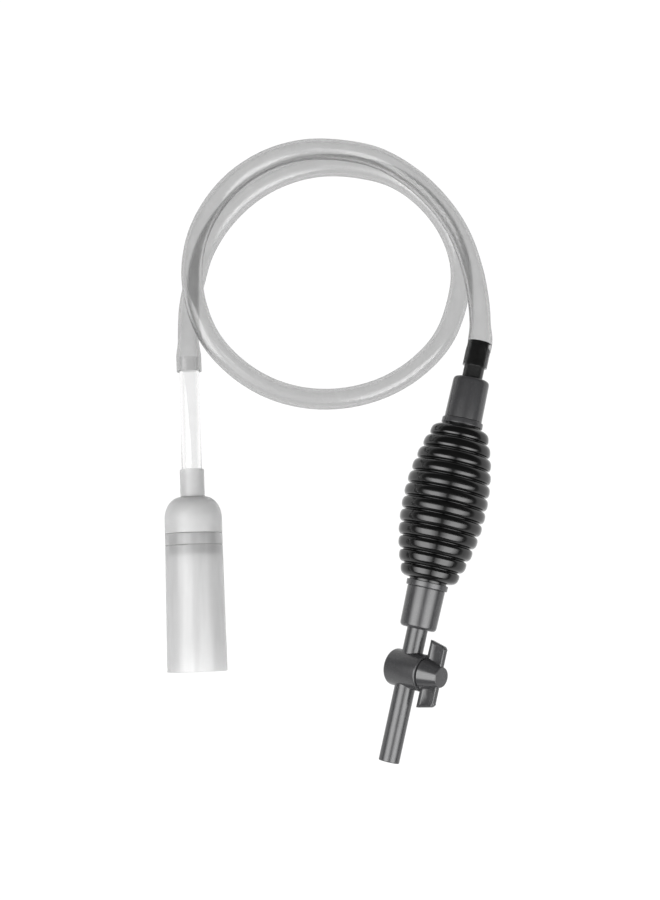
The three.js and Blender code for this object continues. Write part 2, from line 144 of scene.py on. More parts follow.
class SIPHON_PG_pump(bpy.types.PropertyGroup):
    """Sizes of the squeeze bulb and its caps, along the pump's own axis from its middle."""
    radius: length("Bulb radius", "Radius over the middle ribs", 31.58)
    end_radius: length("End radius", "Radius over the ribs at each end", 21.8)
    half: length("Half length", "From the bulb's middle to its shoulder", 58.9)
    ribs: IntProperty(name="Ribs", description="Ribs of the bulb", default=12, min=4)
    swell: FloatProperty(name="Swell", description="Power of the barrel curve", default=2.1)
    rib_depth: length("Rib depth", "From a rib's top to the valley beside it", 3.4)
    valley: length("Valley", "Radius of the round at the bottom of a valley", 0.55)
    neck: length("Neck radius", "Outer radius of the bulb's neck", 13.9)
    neck_bore: length("Neck bore", "Inner radius of the bulb's neck", 12.1)
    ring: length("Ring radius", "Outer radius of a clamp ring", 15.6)
    ring_width: length("Ring width", "Length of a clamp ring", 4.2)
    cap: length("Cap radius", "Outer radius of a cap beside its ring", 14.1)
    cap_tip: length("Cap tip radius", "Outer radius of a cap at its far end", 13.6)
    upper_end: length("Upper cap end", "Where the upper cap ends", 96.3)
    lower_end: length("Lower cap end", "Where the lower cap ends", 94.9)
    pipe: length("Pipe radius", "Outer radius of the stub and the pipes", 7.7)
    pipe_bore: length("Pipe bore", "Inner radius of the stub and the pipes", 5.5)
    stub_end: length("Stub end", "Where the stub ends inside the hose", 125.1)


class SIPHON_PG_valve(bpy.types.PropertyGroup):
    """Sizes of the stopcock, along its own axis from the pipe's axis."""
    barrel: length("Barrel radius", "Outer radius of the barrel", 13.7)
    back: length("Back", "How far the closed back stands from the pipe's axis", 13.9)
    mouth: length("Mouth", "Where the barrel's open mouth is", 15.6)
    bore: length("Barrel bore", "Inner radius of the barrel", 10.6)
    outlet: length("Outlet", "From the valve's axis to the outlet pipe's end", 68.5)
    boss: length("Boss radius", "Radius of the handle's boss at the barrel", 12)
    boss_tip: length("Boss tip radius", "Radius of the handle's flat end", 7.4)
    boss_start: length("Boss start", "Where the handle starts", 16.2)
    boss_end: length("Boss end", "Where the handle ends", 30.9)
    wing_span: length("Wing span", "Half the span of the wings beside the barrel", 24.9)
    wing_tip: length("Wing tip span", "Half the span at the wings' far edge", 22)
    wing_top: length("Wing top", "Where the wings' far edge is", 29.5)
    wing_thick: length("Wing thickness", "Thickness of the wings", 4)


class SIPHON_PG_head(bpy.types.PropertyGroup):
    """Sizes of the gravel tube and its head, along their axis from the open mouth."""
    mouth: length("Mouth radius", "Outer radius at the open mouth", 22.3)
    radius: length("Radius", "Outer radius at the joint", 21.5)
    wall: length("Wall", "Thickness of the tube's wall", 1.6)
    tube: length("Tube length", "Length of the gravel tube", 93.4)
    band_end: length("Band end", "Where the joint band ends", 102.3)
    dome_start: length("Dome start", "Where the dome starts", 113.4)
    dome_end: length("Dome end", "Where the dome meets the neck", 130)
    neck: length("Neck radius", "Outer radius of the neck", 9.1)
    neck_end: length("Neck end", "Where the neck ends", 150.8)
    extension: length("Extension radius", "Outer radius of the extension tube", 7.5)
    extension_bore: length("Extension bore", "Inner radius of the extension tube", 6)
    extension_end: length("Extension end", "Where the extension tube ends", 236)


class SIPHON_PG_finishes(bpy.types.PropertyGroup):
    """Colours of the mouldings."""
    vinyl: colour("Hose", "Clear flexible vinyl", "#f8f8f8")
    acrylic: colour("Extension tube", "Clear rigid tube", "#fcfcfc")
    styrene: colour("Gravel tube", "Frosted rigid tube", "#eaeaea")
    polyethylene: colour("Head", "Satin moulded head", "#dcdcdc")
    abs: colour("Caps and valve", "Dark grey moulded plastic", "#2a2a2b")
    stub: colour("Stub", "Black moulded plastic", "#161616")
    bulb: colour("Bulb", "Black moulded rubber", "#060606")
    seal: colour("Seals", "Matt black rubber", "#1a1a1a")
    silicone: colour("Head seal", "Clear silicone rubber", "#dcdcdc")
    acetal: colour("Plug and seats", "Off-white natural moulding", "#cfcfc9")


# ---- modelling -----------------------------------------------------------------------
SHARP = math.radians(35)  # edges that turn more than this stay sharp
WELD = 0.001 * MM  # points nearer than this are merged
FINE_SIDES = 128  # of the wide round pieces
BULB_SIDES = 144


def deselect_all():
    bpy.ops.object.select_all(action="DESELECT")


def round_corners(corners, steps=6):
    """Outline of (radius, along) points from corners; a third number rounds that corner."""
    outline = []
    for i, (*corner, reach) in enumerate(c if len(c) == 3 else (*c, 0) for c in corners):
        here = Vector(corner)
        if not reach:
            outline.append(here)
            continue
        before, after = Vector(corners[i - 1][:2]), Vector(corners[(i + 1) % len(corners)][:2])
        start = here + (before - here).normalized() * reach
        end = here + (after - here).normalized() * reach
        for step in range(steps + 1):
            t = step / steps
            outline.append((1 - t) ** 2 * start + 2 * t * (1 - t) * here + t * t * end)
    return outline


def turned(name, outline, place, sides=96):
    """Closed outline of (radius, along) points spun round the place's Z axis."""
    deselect_all()
    points = [Vector((radius, 0, along)) for radius, along in outline]
    bpy.ops.mesh.primitive_plane_add(size=MM, location=(0, 0, 0))
    piece = bpy.context.object
    piece.name = piece.data.name = name
    bpy.ops.object.mode_set(mode="EDIT")
    bpy.ops.mesh.select_all(action="SELECT")
    bpy.ops.mesh.merge(type="CENTER")
    bpy.ops.transform.translate(value=points[0])
    for here, following in zip(points, points[1:] + points[:1]):
        bpy.ops.mesh.extrude_vertices_move(TRANSFORM_OT_translate={"value": following - here})
    bpy.ops.mesh.select_all(action="SELECT")
    bpy.ops.mesh.spin(steps=sides, angle=math.tau, center=(0, 0, 0), axis=(0, 0, 1))
    bpy.ops.mesh.select_all(action="SELECT")
    bpy.ops.mesh.remove_doubles(threshold=WELD)
    bpy.ops.mesh.dissolve_degenerate(threshold=WELD)
    bpy.ops.mesh.select_all(action="SELECT")
    bpy.ops.mesh.normals_make_consistent(inside=False)
    bpy.ops.object.mode_set(mode="OBJECT")
    settle(piece, place)
    return piece


def settle(piece, place):
    """Puts a piece in its place with the object itself left at the origin, and smooths it."""
    deselect_all()
    piece.select_set(True)
    bpy.context.view_layer.objects.active = piece
    piece.matrix_world = place
    bpy.ops.object.transform_apply(location=True, rotation=True, scale=True)
    bpy.ops.object.shade_smooth_by_angle(angle=SHARP)


def combine(piece, other, operation):
    """Joins another solid to a piece, or cuts it out, and removes the other."""
    cutter = piece.modifiers.new(operation.lower(), "BOOLEAN")
    cutter.operation = operation
    cutter.solver = "EXACT"
    cutter.object = other
    deselect_all()
    piece.select_set(True)
    bpy.context.view_layer.objects.active = piece
    bpy.ops.object.modifier_apply(modifier=cutter.name)
    bpy.data.objects.remove(other)
    bpy.ops.object.shade_smooth_by_angle(angle=SHARP)


def fit(piece, body, slot, material, *nodes):
    """Gives a finished piece its body and its material, and hides the CAD nodes it stands for.
    The slot is not used.
    """
    piece.data.materials.clear()
    piece.data.materials.append(material)
    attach(piece, body)
    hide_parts(*nodes)


# ---- materials -----------------------------------------------------------------------
CLOUD = 12 * MM  # size of the slow patches in a moulding's colour
CLOUD_RANGE = (0.35, 0.65)  # the part of the noise that is used
GRAIN_RANGE = (0.3, 0.7)
ABSORBING_GREY = 0.5


def add_node(tree, kind, inputs=None, **settings):
    """Adds a node, sets its settings, and fills or links its input sockets."""
    node = tree.nodes.new(kind)
    for name, value in settings.items():
        setattr(node, name, value)
    for socket, value in (inputs or {}).items():
        if isinstance(value, bpy.types.NodeSocket):
            tree.links.new(value, node.inputs[socket])
        else:
            node.inputs[socket].default_value = value
    return node


def moulded(name, base, shade, grain, roughness, bump, stretch=(1, 1, 1), absorbed=0,
            **shader):
    """Moulded or extruded plastic or rubber: slow cloudiness in its colour, and a fine grain
    that varies its roughness and stands up as bump. Grain and bump are in millimetres, and
    `absorbed` is how fast clear material darkens, per millimetre of depth."""
    if name in bpy.data.materials:
        return bpy.data.materials[name]
    material = bpy.data.materials.new(name)
    material.use_nodes = True
    tree = material.node_tree
    tree.nodes.clear()
    place = add_node(tree, "ShaderNodeTexCoord").outputs["Object"]
    flow = add_node(tree, "ShaderNodeMapping", {"Vector": place, "Scale": stretch})
    cloud = add_node(tree, "ShaderNodeTexNoise", {
        "Vector": flow.outputs["Vector"], "Scale": 1 / CLOUD, "Detail": 3.0,
    })
    speck = add_node(tree, "ShaderNodeTexNoise", {
        "Vector": place, "Scale": 1 / (grain * MM), "Detail": 2.0,
    })
    spread = add_node(tree, "ShaderNodeMapRange", {
        "Value": cloud.outputs["Fac"],
        "From Min": CLOUD_RANGE[0], "From Max": CLOUD_RANGE[1],
    })
    tone = add_node(tree, "ShaderNodeMix", {
        "Factor": spread.outputs["Result"], "A": list(base), "B": shaded(base, shade),
    }, data_type="RGBA")
    gloss = add_node(tree, "ShaderNodeMapRange", {
        "Value": speck.outputs["Fac"],
        "From Min": GRAIN_RANGE[0], "From Max": GRAIN_RANGE[1],
        "To Min": roughness[0], "To Max": roughness[1],
    })
    relief = add_node(tree, "ShaderNodeBump", {
        "Height": speck.outputs["Fac"], "Distance": bump * MM, "Strength": 1.0,
    })
    surface = add_node(tree, "ShaderNodeBsdfPrincipled", {
        "Base Color": tone.outputs["Result"], "Roughness": gloss.outputs["Result"],
        "Normal": relief.outputs["Normal"], **shader,
    })
    output = add_node(tree, "ShaderNodeOutputMaterial", {"Surface": surface.outputs["BSDF"]})
    if absorbed:
        depth = add_node(tree, "ShaderNodeVolumeAbsorption", {
            "Color": [ABSORBING_GREY] * 3 + [1.0],
            "Density": absorbed / MM / (1 - ABSORBING_GREY),
        })
        tree.links.new(depth.outputs["Volume"], output.inputs["Volume"])
    return material


def shaded(base, factor):
    """The base colour made darker or lighter by a factor."""
    return [min(1.0, c * factor) for c in base[:3]] + [1.0]


def clear_vinyl(finishes):
    """Plasticised PVC, extruded: clear with a grey cast, and a soft gloss."""
    return moulded("extruded_clear_pvc", finishes.vinyl, shade=0.97, grain=3,
                   roughness=(0.17, 0.23), bump=0, absorbed=0.10,
                   **{"IOR": 1.5, "Transmission Weight": 1.0})


def clear_acrylic(finishes):
    """Acrylic tube, extruded and polished: almost colourless, bright edges."""
    return moulded("extruded_acrylic", finishes.acrylic, shade=0.98, grain=4,
                   roughness=(0.02, 0.05), bump=0.002,
                   **{"IOR": 1.49, "Transmission Weight": 1.0})


def frosted_styrene(finishes):
    """Styrene moulded in a matt tool: milky, with flow streaks along the tube."""
    return moulded("matt_moulded_styrene", finishes.styrene, shade=0.9, grain=0.8,
                   roughness=(0.34, 0.44), bump=0.01, stretch=(3, 0.25, 3),
                   **{"IOR": 1.55, "Transmission Weight": 0.85})


def satin_polyethylene(finishes):
    """Natural polyethylene, moulded: waxy and milky, greyer where it is thick."""
    return moulded("satin_polyethylene", finishes.polyethylene, shade=0.92, grain=0.8,
                   roughness=(0.4, 0.5), bump=0.01,
                   **{"IOR": 1.51, "Transmission Weight": 0.7})


def dark_abs(finishes):
    """ABS, injection moulded in a polished tool that has worn: satin, dark grey."""
    return moulded("moulded_dark_abs", finishes.abs, shade=1.2, grain=0.7,
                   roughness=(0.2, 0.28), bump=0.006, **{"IOR": 1.54})


def black_abs(finishes):
    """ABS in black, on the stub: the hose round it takes away some of its shine."""
    return moulded("moulded_black_abs", finishes.stub, shade=1.2, grain=0.7,
                   roughness=(0.2, 0.28), bump=0.006, **{"IOR": 1.46})


def bulb_rubber(finishes):
    """Synthetic rubber, blow moulded: near black, glossy on the ribs."""
    return moulded("blow_moulded_rubber", finishes.bulb, shade=1.3, grain=0.6,
                   roughness=(0.14, 0.2), bump=0.004, **{"IOR": 1.46})


def seal_rubber(finishes):
    """Nitrile rubber, moulded: matt black."""
    return moulded("nitrile_rubber", finishes.seal, shade=1.2, grain=0.4,
                   roughness=(0.5, 0.62), bump=0.01, **{"IOR": 1.5})


def clear_silicone(finishes):
    """Silicone rubber, moulded: clear with a faint haze."""
    return moulded("moulded_silicone", finishes.silicone, shade=0.95, grain=0.6,
                   roughness=(0.2, 0.3), bump=0.004,
                   **{"IOR": 1.41, "Transmission Weight": 0.9})


def natural_acetal(finishes):
    """Acetal, moulded without pigment: off-white, slightly waxy."""
    return moulded("natural_acetal", finishes.acetal, shade=0.94, grain=0.8,
                   roughness=(0.35, 0.45), bump=0.006, **{"IOR": 1.48})


# ---- camera, lights and floor --------------------------------------------------------
AIM = Vector((1.0, 75.8, 0.0)) * MM
CAMERA_DISTANCE = 1.2
CAMERA_HEIGHT = math.radians(84)  # above the horizon
CAMERA_LENS = 62.5  # in millimetres, on a sensor that is 36 mm high
TABLE_SIZE = 24
TABLE_GREY = "#303030"
TABLE_GLOW = 1.0


class SIPHON_OT_camera(bpy.types.Operator):
    """Camera looking down on the table, a little from the foot of the siphon"""
    bl_idname = "siphon.camera"
    bl_label = "Camera"

    def execute(self, context):
        back = Vector((0, -math.cos(CAMERA_HEIGHT), math.sin(CAMERA_HEIGHT)))
        data = bpy.data.cameras.new("camera")
        data.sensor_fit = "VERTICAL"
        data.sensor_height = 36
        data.lens = CAMERA_LENS
        data.dof.use_dof = False
        camera = bpy.data.objects.new("camera", data)
        context.scene.collection.objects.link(camera)
        camera.location = AIM + back * CAMERA_DISTANCE
        camera.rotation_euler = (-back).to_track_quat("-Z", "Y").to_euler()
        context.scene.camera = camera
        return {"FINISHED"}


PANEL_FROM, PANEL_TO = math.radians(3), math.radians(73)  # off the vertical, at each side
PANEL_AWAY = 0.8
PANEL_STEP = 0.05  # the wider a sheet, the further away it hangs
PANEL_LENGTH = 1.0
PANEL_TOP = 0.090  # the panels reach this far up the pump's axis
PANEL_FADE = 0.12  # over which they fade out, with the width, at both ends
PANEL_RADIANCE = 2.35
PANEL_SHARES = (1.0, 0.7, 0.4)  # each panel is three lit sheets, so it is brightest inside
# Height of the view, from level to straight up, and how light the studio is there.
STUDIO_FADE = ((0.0, 0.7), (0.1, 0.2), (0.3, 0.08), (1.0, 0.08))


def soft_panel(name, side, share):
    """Long lit sheet at one side of the pump's axis, facing the pump."""
    middle = (PANEL_FROM + PANEL_TO) / 2
    width = 2 * PANEL_AWAY * math.tan((PANEL_TO - PANEL_FROM) / 2) * share
    long = PANEL_LENGTH - (1 - share) * PANEL_FADE
    target = PUMP_MIDDLE + PUMP_AXIS * (PANEL_TOP - PANEL_LENGTH / 2)
    outward = PUMP_SIDE * side * math.sin(middle) + UP * math.cos(middle)
    data = bpy.data.lights.new(name, "AREA")
    data.shape = "RECTANGLE"
    data.size, data.size_y = width, long
    data.energy = PANEL_RADIANCE * math.pi * width * long
    panel = bpy.data.objects.new(name, data)
    bpy.context.scene.collection.objects.link(panel)
    panel.location = target + outward * (PANEL_AWAY + PANEL_STEP * share)
    panel.rotation_euler = Matrix(
        (PUMP_AXIS.cross(outward), PUMP_AXIS, outward)
    ).transposed().to_euler()
    panel.visible_camera = panel.visible_transmission = False


class SIPHON_OT_stage(bpy.types.Operator):
    """Pale lit table, soft lights at both sides of the pump and a dim studio round it"""
    bl_idname = "siphon.stage"
    bl_label = "Stage"

    def execute(self, context):
        scene = context.scene
        scene.view_settings.view_transform = "Standard"
        deselect_all()
        bpy.ops.mesh.primitive_plane_add(size=TABLE_SIZE, location=(0, 0, 0))
        table = context.object
        table.name = "table"
        pale = bpy.data.materials.new("lit_white_table")
        pale.use_nodes = True
        shader = pale.node_tree.nodes["Principled BSDF"]
        shader.inputs["Base Color"].default_value = hex_colour(TABLE_GREY)
        shader.inputs["Roughness"].default_value = 0.9
        shader.inputs["Specular IOR Level"].default_value = 0.0
        shader.inputs["Emission Color"].default_value = (1, 1, 1, 1)
        shader.inputs["Emission Strength"].default_value = TABLE_GLOW
        table.data.materials.append(pale)

        world = bpy.data.worlds.new("studio")
        scene.world = world
        world.use_nodes = True
        tree = world.node_tree
        tree.nodes.clear()
        direction = add_node(tree, "ShaderNodeTexCoord").outputs["Generated"]
        height = add_node(tree, "ShaderNodeSeparateXYZ", {"Vector": direction})
        fade = add_node(tree, "ShaderNodeValToRGB", {"Fac": height.outputs["Z"]})
        ramp = fade.color_ramp
        for height_there, _ in STUDIO_FADE[1:-1]:
            ramp.elements.new(height_there)
        for spot, (_, grey) in zip(ramp.elements, STUDIO_FADE):
            spot.color = (grey, grey, grey, 1)
        sky = add_node(tree, "ShaderNodeBackground", {"Color": fade.outputs["Color"]})
        add_node(tree, "ShaderNodeOutputWorld", {"Surface": sky.outputs["Background"]})

        for name, side in (("right_panel", 1), ("left_panel", -1)):
            for share in PANEL_SHARES:
                soft_panel(name, side, share)
        return {"FINISHED"}


# ---- hose ----------------------------------------------------------------------------
HOSE_STEP = 1.6 * MM
HOSE_SHARP = math.radians(50)


def hose_path():
    """Points of the smooth line through the hose's route."""
    ends = [HOSE_ROUTE[0] * 2 - HOSE_ROUTE[1], *HOSE_ROUTE, HOSE_ROUTE[-1] * 2 - HOSE_ROUTE[-2]]
    points = []
    for a, b, c, d in zip(ends, ends[1:], ends[2:], ends[3:]):
        steps = max(2, round((c - b).length / HOSE_STEP))
        for step in range(steps):
            t = step / steps
            points.append(0.5 * (
                2 * b + (c - a) * t + (2 * a - 5 * b + 4 * c - d) * t * t
                + (3 * b - a - 3 * c + d) * t * t * t
            ))
    return points + [HOSE_ROUTE[-1]]


def eased(t):
    """0 to 1 as t goes from 0 to 1, slow at both ends."""
    t = min(1.0, max(0.0, t))
    return t * t * (3 - 2 * t)


class SIPHON_OT_hose(bpy.types.Operator):
    """Clear hose from the extension tube to the stub, stretched over both"""
    bl_idname = "siphon.hose"
    bl_label = "Hose"

    def execute(self, context):
        sizes = context.scene.siphon_hose
        points = hose_path()
        walked = [0.0]
        for here, following in zip(points, points[1:]):
            walked.append(walked[-1] + (following - here).length)
        whole = walked[-1]
        data = bpy.data.curves.new("hose", "CURVE")
        data.dimensions = "3D"
        data.bevel_depth = sizes.radius
        data.bevel_resolution = sizes.sides // 4 - 1
        data.use_fill_caps = False
        data.twist_mode = "MINIMUM"
        spline = data.splines.new("POLY")
        spline.points.add(len(points) - 1)
        for spot, place, done in zip(spline.points, points, walked):
            head = 1 - eased((done - sizes.head_grip) / sizes.taper)
            pump = 1 - eased((whole - done - sizes.pump_grip) / sizes.taper)
            radius = (sizes.radius + (sizes.head_cuff - sizes.radius) * head
                      + (sizes.pump_cuff - sizes.radius) * pump)
            spot.co = (*place, 1)
            spot.radius = radius / sizes.radius
        hose = bpy.data.objects.new("hose_run", data)
        context.scene.collection.objects.link(hose)
        deselect_all()
        hose.select_set(True)
        context.view_layer.objects.active = hose
        bpy.ops.object.convert(target="MESH")
        hose = context.object
        wall = hose.modifiers.new("wall", "SOLIDIFY")
        wall.thickness = sizes.wall
        wall.offset = -1
        bpy.ops.object.modifier_apply(modifier=wall.name)
        bpy.ops.object.shade_smooth_by_angle(angle=HOSE_SHARP)
        fit(hose, HEAD_BODY, "clear_vinyl", clear_vinyl(context.scene.siphon_finishes), "hose")
        return {"FINISHED"}


# ---- gravel tube and head ------------------------------------------------------------
class SIPHON_OT_gravel_tube(bpy.types.Operator):
    """Frosted tube that is pushed into the gravel, and the band at its joint"""
    bl_idname = "siphon.gravel_tube"
    bl_label = "Gravel Tube"

    def execute(self, context):
        s = context.scene.siphon_head
        styrene = frosted_styrene(context.scene.siphon_finishes)
        lip, inner_lip = 0.5 * MM, 0.3 * MM
        tube = turned("tapered_tube", round_corners([
            (s.mouth - s.wall, 0, lip), (s.mouth, 0, lip),
            (s.radius, s.tube, lip), (s.radius - s.wall, s.tube, lip),
        ]), HEAD, FINE_SIDES)
        fit(tube, TUBE_BODY, "frosted_styrene", styrene, "gravel_tube")
        band = turned("flush_band", round_corners([
            (s.radius - s.wall, s.tube + GAP, inner_lip), (s.radius, s.tube + GAP, lip),
            (s.radius, s.band_end, lip), (s.radius - s.wall, s.band_end, inner_lip),
        ]), HEAD, FINE_SIDES)
        fit(band, HEAD_BODY, "frosted_styrene", styrene, "joint_band")
        return {"FINISHED"}


class SIPHON_OT_head(bpy.types.Operator):
    """Domed head with its spigot, seal groove and neck"""
    bl_idname = "siphon.head"
    bl_label = "Head"

    def execute(self, context):
        s = context.scene.siphon_head
        wall, ledge = 1.8 * MM, 6 * MM  # the ledge is a stop for the extension tube
        skirt = s.band_end + GAP
        steps = 20  # in the dome's curve
        rise = s.dome_end - s.dome_start

        def dome(inner):
            radius, foot = (s.radius - wall, ledge) if inner else (s.radius, s.neck)
            height = rise - wall if inner else rise
            return [
                (foot + (radius - foot) * math.cos(math.pi / 2 * i / steps),
                 s.dome_start + height * math.sin(math.pi / 2 * i / steps))
                for i in range(steps + 1)
            ]

        seal, groove, groove_half = 89.8 * MM, 18.15 * MM, 0.9 * MM
        bottom, bore, spigot = 86.5 * MM, 17.4 * MM, 19.6 * MM
        socket, socket_edge = s.extension + GAP, 0.3 * MM
        edge, neck_edge, neck_foot = 0.4 * MM, 0.6 * MM, s.dome_end + MM
        outline = [
            *round_corners([
                (bore, bottom, edge), (spigot, bottom, edge), (spigot, seal - groove_half),
                (groove, seal - groove_half), (groove, seal + groove_half),
                (spigot, seal + groove_half), (spigot, skirt), (s.radius, skirt, edge),
                (s.radius, s.dome_start),
            ]),
            *dome(False)[1:],
            *round_corners([
                (s.neck, neck_foot), (s.neck, s.neck_end, neck_edge),
                (socket, s.neck_end, socket_edge), (socket, SOCKET_FOOT),
            ]),
            (ledge, SOCKET_FOOT),
            *reversed(dome(True)),
            (bore, skirt),
        ]
        head = turned("domed_head", outline, HEAD, FINE_SIDES)
        fit(head, HEAD_BODY, "frosted_polyethylene",
            satin_polyethylene(context.scene.siphon_finishes), "gravel_head")
        return {"FINISHED"}


class SIPHON_OT_extension(bpy.types.Operator):
    """Clear rigid tube between the head and the hose"""
    bl_idname = "siphon.extension"
    bl_label = "Extension Tube"

    def execute(self, context):
        s = context.scene.siphon_head
        start, edge = SOCKET_FOOT + GAP, 0.4 * MM
        tube = turned("clear_tube", round_corners([
            (s.extension_bore, start, edge), (s.extension, start, edge),
            (s.extension, s.extension_end, edge), (s.extension_bore, s.extension_end, edge),
        ], 4), HEAD)
        fit(tube, HEAD_BODY, "clear_acrylic", clear_acrylic(context.scene.siphon_finishes),
            "extension_tube")
        return {"FINISHED"}


# ---- pump ----------------------------------------------------------------------------
CREST = 0.85  # 1 makes each rib's section half an ellipse, and less makes it squarer
CREST_SLANT = 0.6  # share of the barrel's slope that each rib's crest takes on
END_RIB_SET_IN = 0.4 * MM  # how far the end ribs stay inside the bulb's shoulders
VALLEY_TURNS = [math.radians(degrees) for degrees in range(0, 90, 15)]
CREST_TURNS = [math.radians(degrees) for degrees in range(0, 90, 9)]
BULB_WALL = 1.3 * MM


def rib_radius(s, along):
    """Radius over the ribs at a distance from the bulb's middle."""
    end_rib = s.half * (1 - 1 / s.ribs)
    return s.radius - (s.radius - s.end_radius) * (abs(along) / end_rib) ** s.swell


def ribbed_wall(s, hollow):
    """One side of the ribbed wall: full ribs that follow the barrel's curve, with narrow
    rounded valleys. `hollow` is how far inside the outer side this one lies."""
    pitch = 2 * s.half / s.ribs
    valley = s.valley + hollow  # radius of the valley's round
    points = []
    for rib in range(s.ribs):
        middle = (rib + 0.5) * pitch - s.half
        for side in (-1, 1):
            bottom = middle + side * pitch / 2
            at_end = rib == (0 if side < 0 else s.ribs - 1)
            width = pitch / 2 - (END_RIB_SET_IN if at_end else valley)
            foot = s.neck if at_end else rib_radius(s, bottom) - s.rib_depth + s.valley
            top = rib_radius(s, middle)
            arc = []
            if not at_end:
                arc += [
                    (foot - valley * math.cos(a), bottom - side * valley * math.sin(a))
                    for a in VALLEY_TURNS
                ]
            for a in CREST_TURNS:
                along = middle + side * width * math.cos(a) ** CREST
                crest = top + (rib_radius(s, along) - top) * CREST_SLANT
                foot_here = foot - hollow if at_end else foot
                full = math.sin(a) ** CREST
                arc.append((foot_here + (crest - hollow - foot_here) * full, along))
            if side < 0:
                points += arc + [(top - hollow, middle)]
            else:
                points += list(reversed(arc))
    return points


class SIPHON_OT_bulb(bpy.types.Operator):
    """Ribbed squeeze bulb with its two necks"""
    bl_idname = "siphon.bulb"
    bl_label = "Bulb"

    def execute(self, context):
        s = context.scene.siphon_pump
        neck_end = s.half + s.ring_width + GAP
        outline = [
            (s.neck_bore, -neck_end), (s.neck, -neck_end),
            *ribbed_wall(s, 0),
            (s.neck, neck_end), (s.neck_bore, neck_end),
            *reversed(ribbed_wall(s, BULB_WALL)),
        ]
        bulb = turned("ribbed_bulb", outline, PUMP, BULB_SIDES)
        fit(bulb, HEAD_BODY, "bellows_rubber", bulb_rubber(context.scene.siphon_finishes),
            "bellows")
        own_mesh(bulb)
        return {"FINISHED"}


class SIPHON_OT_caps(bpy.types.Operator):
    """Caps and clamp rings at both ends of the bulb"""
    bl_idname = "siphon.caps"
    bl_label = "Caps"

    def execute(self, context):
        s = context.scene.siphon_pump
        abs_plastic = dark_abs(context.scene.siphon_finishes)
        ring_start = s.half + MM
        cap_start = ring_start + s.ring_width + GAP
        spigot, spigot_tip, spigot_edge = s.neck_bore - GAP, 56 * MM, 0.4 * MM
        chamber, step = 10.5 * MM, 72 * MM  # room for the valve seat
        swing, swing_end = 9.4 * MM, 80 * MM  # room for the flap to open
        socket, sink, sink_depth = s.pipe + GAP, 0.8 * MM, 1.6 * MM
        start_edge, tip_edge = 0.35 * MM, 3.4 * MM
        ring_edge, ring_bore_edge, ring_taper = 0.6 * MM, 0.2 * MM, 0.2 * MM
        for end, cap_end, body in (("upper", s.upper_end, HEAD_BODY),
                                   ("lower", s.lower_end, LOWER_BODY)):
            flip = 1 if end == "upper" else -1
            sink_foot = cap_end - sink_depth
            cap = round_corners([
                (chamber, spigot_tip, spigot_edge), (spigot, spigot_tip, spigot_edge),
                (spigot, cap_start), (s.cap, cap_start, start_edge),
                (s.cap_tip, cap_end, tip_edge), (socket + sink, cap_end),
                (socket + sink, sink_foot), (socket, sink_foot), (socket, CAP_SOCKET),
                (s.pipe_bore, CAP_SOCKET), (s.pipe_bore, swing_end), (swing, swing_end),
                (swing, step), (chamber, step),
            ], 8)
            piece = turned(f"{end}_end_cap", [(r, flip * y) for r, y in cap], PUMP)
            fit(piece, body, "dark_abs", abs_plastic, f"{end}_cap")
            ring = round_corners([
                (s.neck + GAP, ring_start, ring_bore_edge), (s.ring, ring_start, ring_edge),
                (s.ring - ring_taper, ring_start + s.ring_width, ring_edge),
                (s.neck + GAP, ring_start + s.ring_width, ring_bore_edge),
            ])
            piece = turned(f"{end}_ring", [(r, flip * y) for r, y in ring], PUMP)
            fit(piece, body, "dark_abs", abs_plastic, f"{end}_clamp_ring")
        return {"FINISHED"}


class SIPHON_OT_stub(bpy.types.Operator):
    """Pipe stub in the upper cap, inside the hose's end"""
    bl_idname = "siphon.stub"
    bl_label = "Stub"

    def execute(self, context):
        s = context.scene.siphon_pump
        start, edge, bore_edge = CAP_SOCKET + GAP, 0.8 * MM, 0.4 * MM
        stub = turned("hose_stub", round_corners([
            (s.pipe_bore, start), (s.pipe, start), (s.pipe, s.stub_end, edge),
            (s.pipe_bore, s.stub_end, bore_edge),
        ]), PUMP)
        fit(stub, HEAD_BODY, "dark_abs", black_abs(context.scene.siphon_finishes),
            "inlet_stub")
        return {"FINISHED"}


# ---- stopcock ------------------------------------------------------------------------
def bore_rod(radius, start, end, place):
    """Round rod to cut a bore with."""
    return turned("bore", [(0, start), (radius, start), (radius, end), (0, end)], place)


class SIPHON_OT_valve_body(bpy.types.Operator):
    """Barrel of the stopcock, moulded in one with its inlet and outlet pipes"""
    bl_idname = "siphon.valve_body"
    bl_label = "Valve Body"

    def execute(self, context):
        s, pump = context.scene.siphon_valve, context.scene.siphon_pump
        back_edge, mouth_edge, pipe_edge = 2.4 * MM, 0.9 * MM, 0.8 * MM
        body = turned("stopcock_body", round_corners([
            (0, -s.back), (s.barrel, -s.back, back_edge), (s.barrel, s.mouth, mouth_edge),
            (0, s.mouth),
        ], 8), VALVE)
        top, bottom, floor = -CAP_SOCKET - GAP, VALVE_PLACE - s.outlet, -11.2 * MM
        pipe = turned("pipe", round_corners([
            (0, bottom), (pump.pipe, bottom, pipe_edge), (pump.pipe, top), (0, top),
        ]), PUMP)
        combine(body, pipe, "UNION")
        combine(body, bore_rod(s.bore, floor, s.mouth + MM, VALVE), "DIFFERENCE")
        combine(body, bore_rod(pump.pipe_bore, bottom - MM, top + MM, PUMP), "DIFFERENCE")
        fit(body, LOWER_BODY, "dark_abs", dark_abs(context.scene.siphon_finishes), "valve_body")
        return {"FINISHED"}


